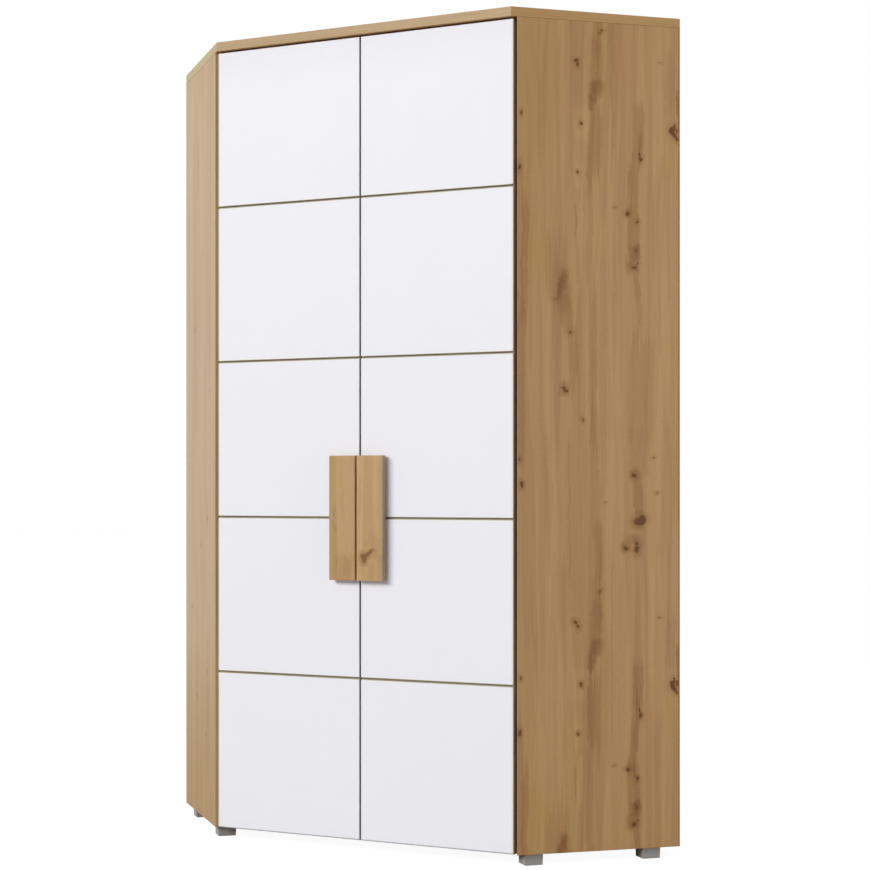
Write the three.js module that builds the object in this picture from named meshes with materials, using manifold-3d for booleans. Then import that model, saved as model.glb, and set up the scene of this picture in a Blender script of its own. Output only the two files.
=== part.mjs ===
// Corner wardrobe: a five-sided carcass that fills a room corner, with two hinged doors
// on its slanted front.
//
// Millimetres, +Z up. The doors face -Y, the room corner is at +Y, and the origin is the
// centre of the bounding box on the floor.
//
// Two plan systems are used. (p, q) follows the two walls: p runs along the left wall from
// the front end of that wall to the room corner, q runs square away from the left wall, so
// the room corner is (WALL, 0), the left side panel lies on p = 0 and the right side panel
// on q = WALL. (u, v) follows the slanted front: u runs along it from its left corner and
// v runs back from the top board's front edge.

import * as THREE from 'three';
import { mergeVertices } from 'three/addons/utils/BufferGeometryUtils.js';
import Module from 'manifold-3d';

const wasm = await Module();
wasm.setup();

// ---------------------------------------------------------------- driving dimensions
const WALL = 1000;            // length along each wall
const SIDE = 424;             // depth of each side panel with its front overhang
const FOOT_H = 25;            // foot height
const TOP_Z = 1987;           // top of the top board
const TOP_T = 22;             // top board
const BOARD_T = 16;           // carcass boards
const BACK_T = 3;             // hardboard backs
const GAP = 0.3;              // clearance kept between touching pieces

const DOOR_V = 9.5;           // door face behind the top board's front edge
const CORE_T = 11.7;          // door core board
const FACING_T = 6;           // white facing panels
const HINGE_EDGE = 0.3;       // line that the hinges are set out from, from the top board's corner
const DOOR_EDGE = -0.9;       // hinge-side edge of a door, from that corner
const DOOR_SEAM = 4;          // gap between the two doors
const DOOR_Z0 = 26;
const DOOR_Z1 = 1960.5;
const GROOVES = [416.4, 802.7, 1189.0, 1575.3];   // groove centres, from the floor
const GROOVE_W = 4;

// front end of each side panel, from its outer to its inner face: [depth into the board, distance
// from the top's corner]; the slanted part clears the turning edge of the door
const SIDE_FRONT = { left: [[0, 18], [10, 18], [16, 26]], right: [[0, 14], [16, 21.5]] };

const HANDLE_W = 71, HANDLE_T = 16, HANDLE_Z0 = 652.4, HANDLE_Z1 = 952.4;
const HANDLE_PROUD = 22;      // front of the handle before the door face
const HANDLE_GAP = 5.4;       // gap between the two handles
const SPACER_W = 30, SPACER_Z0 = 682.4, SPACER_Z1 = 922.4;

const FOOT_W = 45;
const FEET = {                // lowest (p, q) corner of each foot
  foot_front_left: [10, 354],
  foot_rear_left: [10, 54],
  foot_front_right: [610, 954],
  foot_rear_right: [905, 954],
  foot_back_corner: [938, 17],
};

const HAT_Z = 1640;           // underside of the hat shelf
const PARTITION_P = 350;      // partition, from the left side panel's outer face
const PARTITION_Q = 430;      // its depth
const SHELF_Q = 392;          // depth of the small shelves
const SHELF_Z = { shelf_lower: 432, shelf_middle: 832, shelf_upper: 1232 };
const POST_W = 30;            // corner post

const RAIL_P = 700, RAIL_Z = 1560, RAIL_R = 12.5, RAIL_WALL = 1.5;
const RAIL_Q0 = 150, RAIL_HANGER_Q = 190;

const HINGE_Z = [130, 620, 1400, 1860];
const PIVOT_U = 11;           // hinge pin from the set-out line
const PIVOT_BACK = 8.1;       // hinge pin from the door's back face
const PIN_R = 1.2, PIN_HOLE_R = 1.5, EYE_R = 2.2, PIN_HALF = 9.8;
const CUP_R = 17.3, CUP_IN_R = 16.3, CUP_U = 22, CUP_DEPTH = 11.5, CUP_FLOOR = 0.8;
const CUP_BORE_R = 17.6, FLANGE_T = 1.7, FLANGE_R = 18.6;
const NECK_R = 17;            // gooseneck of the arm, round the pin
const NECK_T = 2, NECK_HALF = 6, ARM_HALF = 9;
const ARM_LEN = 66, BASE_L0 = 30, PLATE_HALF = 24, PLATE_T = 2.4;

// ---------------------------------------------------------------- plan geometry
const S = Math.SQRT1_2;
const FRONT_W = (WALL - SIDE) * Math.SQRT2;          // length of the slanted front
const DEPTH = (SIDE + WALL) * S;                     // front edge of the top to the room corner
const PROUD = HANDLE_PROUD - DOOR_V;                 // handles stand this far before the top board
const FRONT_Y = -(DEPTH + PROUD) / 2 + PROUD;        // y of the top board's front edge

const xy = (p, q) => [-WALL * S + (p + q) * S, FRONT_Y + SIDE * S + (p - q) * S];
const uv = (u, v) => [u - FRONT_W / 2, FRONT_Y + v];
// (p, q) of a point given along the front and back from it
const pqOf = (u, v) => [u * S + v * S, SIDE + u * S - v * S];

// ---------------------------------------------------------------- materials
const finish = (color, roughness, metalness = 0) =>
  ({ color, roughness, metalness });
const OAK = finish(0xa3805b, 0.55);
const WHITE = finish(0xeeeef0, 0.3);
const BOARD = finish(0xe6e2da, 0.5);
const HARDBOARD = finish(0xd9cfc0, 0.75);
const GREY = finish(0x808080, 0.5);
const NICKEL = finish(0xb9b7b2, 0.3, 1);
const CHROME = finish(0xcfcfd2, 0.12, 1);

// ---------------------------------------------------------------- solids
function clean(geometry) {
  // positions only, shared vertices merged, no slivers, faces outward
  const g = geometry.clone();
  g.deleteAttribute('normal');
  g.deleteAttribute('uv');
  const m = mergeVertices(g, 1e-4);
  const src = m.index.array, pos = m.attributes.position.array;
  const idx = [];
  for (let i = 0; i < src.length; i += 3) {
    const [a, b, c] = [src[i], src[i + 1], src[i + 2]];
    if (a !== b && b !== c && c !== a) idx.push(a, b, c);
  }
  let volume = 0;
  const P = (k) => new THREE.Vector3(pos[3 * k], pos[3 * k + 1], pos[3 * k + 2]);
  for (let i = 0; i < idx.length; i += 3) {
    volume += P(idx[i]).dot(P(idx[i + 1]).cross(P(idx[i + 2])));
  }
  if (volume < 0) {
    for (let i = 0; i < idx.length; i += 3) [idx[i + 1], idx[i + 2]] = [idx[i + 2], idx[i + 1]];
  }
  const out = new THREE.BufferGeometry();
  out.setAttribute('position', new THREE.Float32BufferAttribute(Array.from(pos), 3));
  out.setIndex(idx);
  return out;
}

function solid(geometry) {
  const g = clean(geometry);
  return new wasm.Manifold(new wasm.Mesh({
    numProp: 3,
    vertProperties: new Float32Array(g.attributes.position.array),
    triVerts: new Uint32Array(g.index.array),
  }));
}

function shell(manifold) {
  const mesh = manifold.getMesh();
  const out = new THREE.BufferGeometry();
  out.setAttribute('position', new THREE.Float32BufferAttribute(Array.from(mesh.vertProperties), 3));
  out.setIndex(Array.from(mesh.triVerts));
  return out;
}

// vertical prism on a plan outline given as [x, y] points, with optional round holes
function prism(points, z0, z1) {
  const shape = new THREE.Shape(points.map(([x, y]) => new THREE.Vector2(x, y)));
  const g = new THREE.ExtrudeGeometry(shape, { depth: z1 - z0, bevelEnabled: false, steps: 1 });
  g.translate(0, 0, z0);
  return g;
}
const prismPQ = (points, z0, z1) => prism(points.map(([p, q]) => xy(p, q)), z0, z1);
const boxPQ = (p0, p1, q0, q1, z0, z1) =>
  prismPQ([[p0, q0], [p1, q0], [p1, q1], [p0, q1]], z0, z1);
const boxUV = (u0, u1, v0, v1, z0, z1) =>
  prism([[u0, v0], [u1, v0], [u1, v1], [u0, v1]].map(([u, v]) => uv(u, v)), z0, z1);

// the same shape on the other side of the wardrobe's middle plane
function mirrored(geometry) {
  const g = geometry.clone();
  g.applyMatrix4(new THREE.Matrix4().makeScale(-1, 1, 1));
  return g;
}

const wardrobe = new THREE.Group();
function add(name, geometry, look, parent = wardrobe) {
  const g = clean(geometry).toNonIndexed();
  g.computeVertexNormals();
  const mesh = new THREE.Mesh(g, new THREE.MeshStandardMaterial(look));
  mesh.name = name;
  parent.add(mesh);
  return mesh;
}

// ---------------------------------------------------------------- carcass
const UNDER_TOP = TOP_Z - TOP_T;
add('top_board', prismPQ([[0, 0], [WALL, 0], [WALL, WALL], [WALL - SIDE, WALL], [0, SIDE]],
  UNDER_TOP, TOP_Z), OAK);

// side panels
const inBack = BACK_T + GAP;
const sidePanel = (front) =>
  [[0, inBack], [BOARD_T, inBack], ...front.map(([h, t]) => [h, SIDE - t]).reverse()];
add('left_side_panel', prismPQ(sidePanel(SIDE_FRONT.left), FOOT_H, UNDER_TOP - GAP), OAK);
add('right_side_panel', prismPQ(sidePanel(SIDE_FRONT.right).map(([p, q]) => [WALL - q, WALL - p]),
  FOOT_H, UNDER_TOP - GAP), OAK);

// hardboard backs lie on the rear ends of the side panels, under the top board
add('left_back_panel', boxPQ(0, WALL - BACK_T - GAP, 0, BACK_T, FOOT_H, UNDER_TOP - GAP), HARDBOARD);
add('right_back_panel', boxPQ(WALL - BACK_T, WALL, 0, WALL, FOOT_H, UNDER_TOP - GAP), HARDBOARD);

// boards inside the carcass: five-sided, notched round the corner post, front edge at frontV;
// relief > 0 cuts back the two front corners, where the doors' back edges turn
const inner = BOARD_T + GAP, innerBack = WALL - BACK_T - GAP;
function innerBoard(frontV, z0, z1, post, relief = 0) {
  const k = frontV * Math.SQRT2;                     // the front line is q - p = SIDE - k
  const c = SIDE - k;
  const outline = [];
  outline.push([inner, inBack]);
  if (post) {
    const w = POST_W + 2 * GAP;
    outline.push([innerBack - w, inBack], [innerBack - w, inBack + w], [innerBack, inBack + w]);
  } else {
    outline.push([innerBack, inBack]);
  }
  outline.push([innerBack, WALL - inner]);
  const left = [];
  if (relief > 0) {
    const deep = frontV + relief, cd = SIDE - deep * Math.SQRT2;
    left.push([inner, inner + cd]);
    left.push(pqOf(30, deep));
    left.push(pqOf(30 + relief, frontV));
  } else {
    left.push([inner, inner + c]);
  }
  const right = left.map(([p, q]) => [WALL - q, WALL - p]);
  outline.push(...right, ...left.reverse());
  return prismPQ(outline, z0, z1);
}
const DOOR_BACK = DOOR_V + FACING_T + GAP + CORE_T;
add('bottom_board', innerBoard(DOOR_BACK + 2.3, FOOT_H, FOOT_H + BOARD_T, false, 5.5), OAK);
const FLOOR = FOOT_H + BOARD_T + GAP;
add('hat_shelf', innerBoard(62, HAT_Z, HAT_Z + BOARD_T, true), BOARD);
add('back_corner_post', boxPQ(innerBack - POST_W - GAP, innerBack - GAP, inBack + GAP,
  inBack + GAP + POST_W, FLOOR, UNDER_TOP - GAP), BOARD);
add('partition_panel', boxPQ(PARTITION_P, PARTITION_P + BOARD_T, inBack, PARTITION_Q,
  FLOOR, HAT_Z - GAP), BOARD);
for (const [name, z] of Object.entries(SHELF_Z)) {
  add(name, boxPQ(inner, PARTITION_P - GAP, inBack, SHELF_Q, z, z + BOARD_T), BOARD);
}

// feet: square moulded blocks, slightly narrower at the floor
for (const [name, [p, q]] of Object.entries(FEET)) {
  const w = FOOT_W / 2, t = w - 0.8, c = xy(p + w, q + w);
  const g = new THREE.CylinderGeometry(w * Math.SQRT2, t * Math.SQRT2, FOOT_H - GAP, 4, 1);
  g.rotateX(Math.PI / 2);                            // axis to +Z, wide end up, turned 45 degrees
  g.translate(c[0], c[1], (FOOT_H - GAP) / 2);
  add(name, g, GREY);
}

// clothes rail: steel tube along q, in a flange on the right side panel and a hanger under the shelf
const RAIL_Q1 = WALL - BOARD_T - 2.7;
function alongQ(geometry, p, q, z) {
  // geometry's +Z turned to +q at (p, q, z)
  const [x, y] = xy(p, q);
  const m = new THREE.Matrix4().makeBasis(
    new THREE.Vector3(S, S, 0), new THREE.Vector3(0, 0, 1), new THREE.Vector3(S, -S, 0));
  m.setPosition(x, y, z);
  return geometry.clone().applyMatrix4(m);
}
function ring(rOut, rIn, length, segments) {
  const shape = new THREE.Shape();
  shape.absarc(0, 0, rOut, 0, 2 * Math.PI, false);
  const hole = new THREE.Path();
  hole.absarc(0, 0, rIn, 0, 2 * Math.PI, true);
  shape.holes.push(hole);
  return new THREE.ExtrudeGeometry(shape, { depth: length, bevelEnabled: false, steps: 1,
    curveSegments: segments });
}
add('clothes_rail', alongQ(ring(RAIL_R, RAIL_R - RAIL_WALL, RAIL_Q1 - RAIL_Q0, 28),
  RAIL_P, RAIL_Q0, RAIL_Z), CHROME);

// flange: a round plate on the panel with a socket open towards the rail
const plateEnd = WALL - BOARD_T - GAP;
const flange = new THREE.LatheGeometry([
  [0, 0], [27, 0], [27, -1.4], [25.8, -2.2], [16, -2.2], [16, -14], [RAIL_R + GAP, -14],
  [RAIL_R + GAP, -2.1], [0, -2.1],
].map(([r, h]) => new THREE.Vector2(r, h)), 28);
flange.rotateX(Math.PI / 2);
add('rail_flange', alongQ(flange, RAIL_P, plateEnd, RAIL_Z), NICKEL);

// hanger: screw plate under the hat shelf, stem and a ring round the rail
{
  const width = 14, top = HAT_Z - GAP - RAIL_Z;
  const plate = new THREE.BoxGeometry(46, 2.5, 20).translate(0, top - 1.25, width / 2);
  const stem = new THREE.BoxGeometry(5, top - RAIL_R - 3, width).translate(0, (top + RAIL_R + 3) / 2 - 0.5, width / 2);
  const loop = ring(RAIL_R + 4, RAIL_R + GAP, width, 28);
  const body = solid(plate).add(solid(stem)).add(solid(loop));
  add('rail_hanger', alongQ(shell(body), RAIL_P, RAIL_HANGER_Q, RAIL_Z), NICKEL);
}

// ---------------------------------------------------------------- doors and hinges
const PIVOT = [HINGE_EDGE + PIVOT_U, DOOR_BACK - PIVOT_BACK];         // (u, v) of the left pin
const DOOR_U1 = FRONT_W / 2 - DOOR_SEAM / 2;
const cupU = HINGE_EDGE + CUP_U;

// hinge cup: pressed shell in the door's bore, screw flange on the back face, two ears for the pin
function hingeCup(z) {
  const v0 = DOOR_BACK - CUP_DEPTH, lip = DOOR_BACK + GAP, out = lip + FLANGE_T;
  const [x, y] = uv(cupU, 0);
  const pot = new THREE.LatheGeometry([
    [0, v0], [CUP_R, v0], [CUP_R, lip], [FLANGE_R, lip], [FLANGE_R, out], [CUP_IN_R, out],
    [CUP_IN_R, v0 + CUP_FLOOR], [0, v0 + CUP_FLOOR],
  ].map(([r, h]) => new THREE.Vector2(r, h)), 28).translate(x, y, z);
  // outline in x and z, thickness in y
  const flat = new THREE.ExtrudeGeometry(new THREE.Shape([[-8, -31], [8, -31], [13, -26], [13, 26],
    [8, 31], [-8, 31], [-13, 26], [-13, -26]].map(([a, b]) => new THREE.Vector2(a, b))),
    { depth: FLANGE_T, bevelEnabled: false, steps: 1 });
  flat.rotateX(Math.PI / 2);                         // y = -depth
  flat.translate(x, y + out, z);
  const mouth = new THREE.CylinderGeometry(CUP_IN_R, CUP_IN_R, 8, 28).translate(x, y + lip + 2, z);
  let cup = solid(flat).subtract(solid(mouth)).add(solid(pot));
  const [px, py] = uv(...PIVOT);
  const ear = (z0, z1) => solid(prism([[px - 3.2, y + v0 + 0.3], [px + 3.6, y + v0 + 0.3],
    [px + 3.6, py + 1.2], [px + 1.4, py + 3.2], [px - 1.4, py + 3.2], [px - 3.2, py + 1.2]],
    z + z0, z + z1));
  cup = cup.add(ear(6.8, 9.2)).add(ear(-9.2, -6.8));
  const hole = new THREE.CylinderGeometry(PIN_HOLE_R, PIN_HOLE_R, 2 * PIN_HALF + 1, 16)
    .rotateX(Math.PI / 2).translate(px, py, z);
  return shell(cup.subtract(solid(hole)));
}

// hinge pin: a plain pin through the ears of the cup and the eye of the arm
function hingePin(z) {
  const [px, py] = uv(...PIVOT);
  return new THREE.CylinderGeometry(PIN_R, PIN_R, 2 * PIN_HALF, 16)
    .rotateX(Math.PI / 2).translate(px, py, z);
}

// hinge arm: eye on the pin, gooseneck round the door's back edge, arm on a plate screwed
// to the side panel
function hingeArm(z) {
  const at = (r, deg) => {
    const a = deg * Math.PI / 180;
    return uv(PIVOT[0] + r * Math.cos(a), PIVOT[1] + r * Math.sin(a));
  };
  const [px, py] = uv(...PIVOT);
  const outer = NECK_R + NECK_T / 2, within = NECK_R - NECK_T / 2;
  // straight part from the eye, then the curve from 0 to 45 degrees
  const neck = [];
  neck.push([px, py - NECK_T / 2], [px + outer - 2.4, py - NECK_T / 2], [px + outer - 0.7, py - 0.3]);
  for (let d = 5; d <= 45; d += 8) neck.push(at(outer, d));
  const dir = [-S, S];
  const endOut = at(outer, 45), endIn = at(within, 45);
  const far = 24;
  neck.push([endOut[0] + dir[0] * far, endOut[1] + dir[1] * far]);
  neck.push([endIn[0] + dir[0] * far, endIn[1] + dir[1] * far]);
  for (let d = 45; d >= 13; d -= 8) neck.push(at(within, d));
  neck.push([px + within - 1.2, py + NECK_T / 2 + 0.2], [px + within - 2.6, py + NECK_T / 2]);
  neck.push([px, py + NECK_T / 2]);
  let arm = solid(prism(neck, z - NECK_HALF, z + NECK_HALF));
  const eye = new THREE.CylinderGeometry(EYE_R, EYE_R, 2 * NECK_HALF, 16)
    .rotateX(Math.PI / 2).translate(px, py, z);
  arm = arm.add(solid(eye));
  // body of the arm, from the gooseneck back along the side panel: an upside-down channel
  const along = (a0, a1, h0, h1, z0, z1) => {
    // a: along the side panel from the gooseneck's end, h: away from the panel's inner face
    const base = (a, h) => {
      const t = -PIVOT[0] * S + PIVOT[1] * S + a;     // along the side from the panel's origin
      return xy(BOARD_T + h, SIDE - t);
    };
    return solid(prism([base(a0, h0), base(a1, h0), base(a1, h1), base(a0, h1)], z0, z1));
  };
  // height of the gooseneck's straight end above the panel's inner face
  const top = (PIVOT[0] + PIVOT[1]) * S - BOARD_T + outer;
  arm = arm.add(along(18, ARM_LEN, top - NECK_T, top, z - ARM_HALF, z + ARM_HALF));
  arm = arm.add(along(18, ARM_LEN, top - 9, top, z - ARM_HALF, z - ARM_HALF + 1.6));
  arm = arm.add(along(18, ARM_LEN, top - 9, top, z + ARM_HALF - 1.6, z + ARM_HALF));
  // mounting plate and its saddle
  arm = arm.add(along(BASE_L0 + 4, ARM_LEN - 4, GAP + PLATE_T - 0.4, top - 1, z - 5, z + 5));
  arm = arm.add(along(BASE_L0, ARM_LEN, GAP, GAP + PLATE_T, z - PLATE_HALF, z + PLATE_HALF));
  const hole = new THREE.CylinderGeometry(PIN_HOLE_R, PIN_HOLE_R, 2 * NECK_HALF + 1, 16)
    .rotateX(Math.PI / 2).translate(px, py, z);
  return shell(arm.subtract(solid(hole)));
}

for (const side of ['left', 'right']) {
  const turn = side === 'left' ? (g) => g : mirrored;
  const door = new THREE.Group();
  wardrobe.add(door);

  // core board with four bores for the hinge cups
  let core = solid(boxUV(DOOR_EDGE, DOOR_U1, DOOR_BACK - CORE_T, DOOR_BACK, DOOR_Z0, DOOR_Z1));
  for (const z of HINGE_Z) {
    const [x, y] = uv(cupU, DOOR_BACK - CORE_T / 2);
    core = core.subtract(solid(new THREE.CylinderGeometry(CUP_BORE_R, CUP_BORE_R, CORE_T + 4, 28)
      .translate(x, y, z)));
  }
  add(`${side}_door_core`, turn(shell(core)), OAK, door);

  // five white facings with open grooves between them
  const edges = [DOOR_Z0, ...GROOVES.flatMap((g) => [g - GROOVE_W / 2, g + GROOVE_W / 2]), DOOR_Z1];
  for (let i = 0; i < 5; i += 1) {
    add(`${side}_facing_${i + 1}`, turn(boxUV(DOOR_EDGE, DOOR_U1, DOOR_V, DOOR_V + FACING_T,
      edges[2 * i], edges[2 * i + 1])), WHITE, door);
  }

  // bar handle on a narrower spacer strip
  const h1 = FRONT_W / 2 - HANDLE_GAP / 2, h0 = h1 - HANDLE_W, mid = (h0 + h1) / 2;
  const back = DOOR_V - HANDLE_PROUD + HANDLE_T;
  add(`${side}_handle_bar`, turn(boxUV(h0, h1, DOOR_V - HANDLE_PROUD, back, HANDLE_Z0, HANDLE_Z1)),
    OAK, door);
  add(`${side}_handle_spacer`, turn(boxUV(mid - SPACER_W / 2, mid + SPACER_W / 2, back + GAP,
    DOOR_V - GAP, SPACER_Z0, SPACER_Z1)), OAK, door);

  HINGE_Z.forEach((z, i) => {
    add(`${side}_hinge_cup_${i + 1}`, turn(hingeCup(z)), NICKEL, door);
    add(`${side}_hinge_pin_${i + 1}`, turn(hingePin(z)), NICKEL, door);
    add(`${side}_hinge_arm_${i + 1}`, turn(hingeArm(z)), NICKEL);
  });
}

export default wardrobe;
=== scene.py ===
import bpy, bmesh, math, random
from mathutils import Vector, Matrix


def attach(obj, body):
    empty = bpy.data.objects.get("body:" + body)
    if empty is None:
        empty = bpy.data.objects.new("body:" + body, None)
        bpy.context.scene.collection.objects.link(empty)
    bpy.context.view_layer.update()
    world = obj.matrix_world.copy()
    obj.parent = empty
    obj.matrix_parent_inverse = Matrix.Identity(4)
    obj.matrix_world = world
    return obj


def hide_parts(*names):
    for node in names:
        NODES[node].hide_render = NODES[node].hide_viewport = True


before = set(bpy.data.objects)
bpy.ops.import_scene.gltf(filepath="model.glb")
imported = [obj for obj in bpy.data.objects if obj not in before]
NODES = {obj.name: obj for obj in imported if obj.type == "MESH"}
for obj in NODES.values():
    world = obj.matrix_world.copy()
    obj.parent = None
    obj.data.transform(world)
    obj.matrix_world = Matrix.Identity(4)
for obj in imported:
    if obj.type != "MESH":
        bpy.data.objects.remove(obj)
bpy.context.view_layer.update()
random.seed(7)

MM = 0.001
S = math.sqrt(0.5)
WALL, SIDE = 1000.0, 424.0
FRONT_W = (WALL - SIDE) * math.sqrt(2)
DEPTH = (SIDE + WALL) * S
DOOR_V, HANDLE_PROUD = 9.5, 22.0
PROUD = HANDLE_PROUD - DOOR_V
FRONT_Y = -(DEPTH + PROUD) / 2 + PROUD
BACK_T, BOARD_T, GAP = 3.0, 16.0, 0.3
DOOR_BACK = DOOR_V + 6.0 + GAP + 11.7
HINGE_Z = (130.0, 620.0, 1400.0, 1860.0)


def pq(p, q, z=0.0):
    """Wall-aligned plan coordinates in mm to the row frame in metres."""
    return Vector((-WALL * S + (p + q) * S, FRONT_Y + SIDE * S + (p - q) * S, z)) * MM


def uv(u, v, z=0.0):
    """Front-aligned plan coordinates in mm to the row frame in metres."""
    return Vector((u - FRONT_W / 2, FRONT_Y + v, z)) * MM


# ------------------------------------------------------------------ camera
AZ = math.radians(27.73)
LENS_PX, CX, CY = 2010.8, 435.0, 486.6
look = Vector((-math.sin(AZ), math.cos(AZ), 0))
right = Vector((math.cos(AZ), math.sin(AZ), 0))
cam_data = bpy.data.cameras.new("camera")
cam = bpy.data.objects.new("camera", cam_data)
bpy.context.scene.collection.objects.link(cam)
cam.location = Vector((0, FRONT_Y, 877.94)) * MM - look * 4.83142 + right * 0.18462
cam.rotation_euler = (math.pi / 2, 0, AZ)
cam_data.sensor_width = 36
cam_data.lens = LENS_PX / 870 * 36
cam_data.shift_x = -(CX - 435) / 870
cam_data.shift_y = (CY - 435) / 870
cam_data.clip_end = 60
bpy.context.scene.camera = cam


# ------------------------------------------------------------------ shader helper
class Tree:
    """Short names for the nodes that the materials here are built from."""

    def __init__(self, name):
        self.mat = bpy.data.materials.new(name)
        self.mat.use_nodes = True
        self.t = self.mat.node_tree
        self.t.nodes.clear()
        self.out = self.t.nodes.new("ShaderNodeOutputMaterial")
        self.bsdf = self.t.nodes.new("ShaderNodeBsdfPrincipled")
        self.t.links.new(self.bsdf.outputs[0], self.out.inputs[0])
        co = self.t.nodes.new("ShaderNodeTexCoord")
        self.co, self.n = co.outputs["Object"], co.outputs["Normal"]

    def put(self, socket, value):
        if isinstance(value, bpy.types.NodeSocket):
            self.t.links.new(value, socket)
        elif value is not None:
            socket.default_value = value

    def math(self, op, a, b=None, c=None, clamp=False):
        n = self.t.nodes.new("ShaderNodeMath")
        n.operation, n.use_clamp = op, clamp
        for i, v in enumerate((a, b, c)):
            self.put(n.inputs[i], v)
        return n.outputs[0]

    def add(self, a, b): return self.math("ADD", a, b)
    def sub(self, a, b): return self.math("SUBTRACT", a, b)
    def mul(self, a, b): return self.math("MULTIPLY", a, b)

    def vec(self, op, a, b=None, scale=None):
        n = self.t.nodes.new("ShaderNodeVectorMath")
        n.operation = op
        self.put(n.inputs[0], a)
        self.put(n.inputs[1], b)
        if scale is not None:
            self.put(n.inputs["Scale"], scale)
        return n.outputs["Value"] if op in ("LENGTH", "DOT_PRODUCT", "DISTANCE") else n.outputs[0]

    def split(self, v):
        n = self.t.nodes.new("ShaderNodeSeparateXYZ")
        self.put(n.inputs[0], v)
        return n.outputs

    def join(self, x=0.0, y=0.0, z=0.0):
        n = self.t.nodes.new("ShaderNodeCombineXYZ")
        for i, v in enumerate((x, y, z)):
            self.put(n.inputs[i], v)
        return n.outputs[0]

    def noise(self, v, scale=1.0, detail=2.0, rough=0.5, distortion=0.0):
        n = self.t.nodes.new("ShaderNodeTexNoise")
        self.put(n.inputs["Vector"], v)
        n.inputs["Scale"].default_value = scale
        n.inputs["Detail"].default_value = detail
        n.inputs["Roughness"].default_value = rough
        n.inputs["Distortion"].default_value = distortion
        return n.outputs["Fac"]

    def voronoi(self, v, scale=1.0, randomness=1.0):
        n = self.t.nodes.new("ShaderNodeTexVoronoi")
        n.voronoi_dimensions = "2D"
        self.put(n.inputs["Vector"], v)
        n.inputs["Scale"].default_value = scale
        n.inputs["Randomness"].default_value = randomness
        return n.outputs["Distance"], n.outputs["Color"]

    def ramp(self, v, lo, hi, to_lo=0.0, to_hi=1.0, smooth=True):
        n = self.t.nodes.new("ShaderNodeMapRange")
        n.interpolation_type = "SMOOTHSTEP" if smooth else "LINEAR"
        for i, x in enumerate((v, lo, hi, to_lo, to_hi)):
            self.put(n.inputs[i], x)
        return n.outputs[0]

    def mix(self, f, a, b, mode="MIX"):
        n = self.t.nodes.new("ShaderNodeMix")
        n.data_type, n.blend_type = "RGBA", mode
        self.put(n.inputs[0], f)
        for s, v in ((n.inputs[6], a), (n.inputs[7], b)):
            if isinstance(v, (tuple, list)):
                v = (*v[:3], 1.0)
            self.put(s, v)
        return n.outputs[2]

    def bump(self, height, strength, distance):
        n = self.t.nodes.new("ShaderNodeBump")
        n.inputs["Strength"].default_value = strength
        n.inputs["Distance"].default_value = distance
        self.put(n.inputs["Height"], height)
        self.t.links.new(n.outputs[0], self.bsdf.inputs["Normal"])

    def set(self, **kw):
        for k, v in kw.items():
            s = self.bsdf.inputs[k.replace("_", " ")]
            if isinstance(v, (tuple, list)) and len(v) == 3:
                v = (*v, 1.0)
            self.put(s, v)


# ------------------------------------------------------------------ oak decor
# Features of the right side panel's print, in mm: across the board from its front edge, then up.
# The print repeats every 1310 mm. A knot: centre, half width, half height, strength.
PERIOD = 1.310
SIDE_KNOTS = [
    (221, 631, 5, 5, .45), (314, 730, 5, 10, .9), (312, 744, 4.5, 8, .7), (286, 733, 6, 5, .8),
    (318, 796, 11, 10, 1.0), (327, 801, 9.5, 9.5, 1.0), (329, 792, 7, 8, .95), (234, 840, 3, 4, .35), (366, 863, 4, 4, .45), (356, 947, 4, 4, .3),
    (25, 882, 4.5, 8, .95), (307, 904, 6, 8, .85), (20, 942, 4, 6, .4), (177, 1031, 4, 6, .55),
    (131, 1107, 3.5, 8, .75), (136, 1101, 5.5, 4, .9), (127, 1110, 4, 3, .5), (11, 10, 4, 7, .5), (113, 3, 5, 4, .5), (146, -73, 4, 5, .6),
    (307, 83, 6.5, 5, .85), (317, 92, 5, 3.5, .5), (313, 123, 5, 7, .30), (24, 433, 4, 6, .5), (315, 190, 5, 6, .75), (291, 211, 6, 5, .85),
    (165, 303, 4, 5, .65), (21, 308, 4, 9, .9), (323, 340, 4.5, 8, 1.0), (321, 352, 4, 7, .7),
    (403, 411, 6, 8.5, 1.0), (408, 415, 6, 6, .95), (406, 404, 5.5, 7.5, 1.0), (411, 398, 5.5, 6.5, 1.0),
    (416, 391, 4.5, 6.5, .75), (410, 423, 5, 5, .5), (416, 412, 5, 9, .65), (173, 416, 4, 6, .85), (160, 562, 6, 5, .9),
    (164, 552, 4, 7, .8), (256, 223, 4, 2.5, .25), (225, 638, 6, 3, .4), (372, 568, 5, 3, .25),
]
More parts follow.
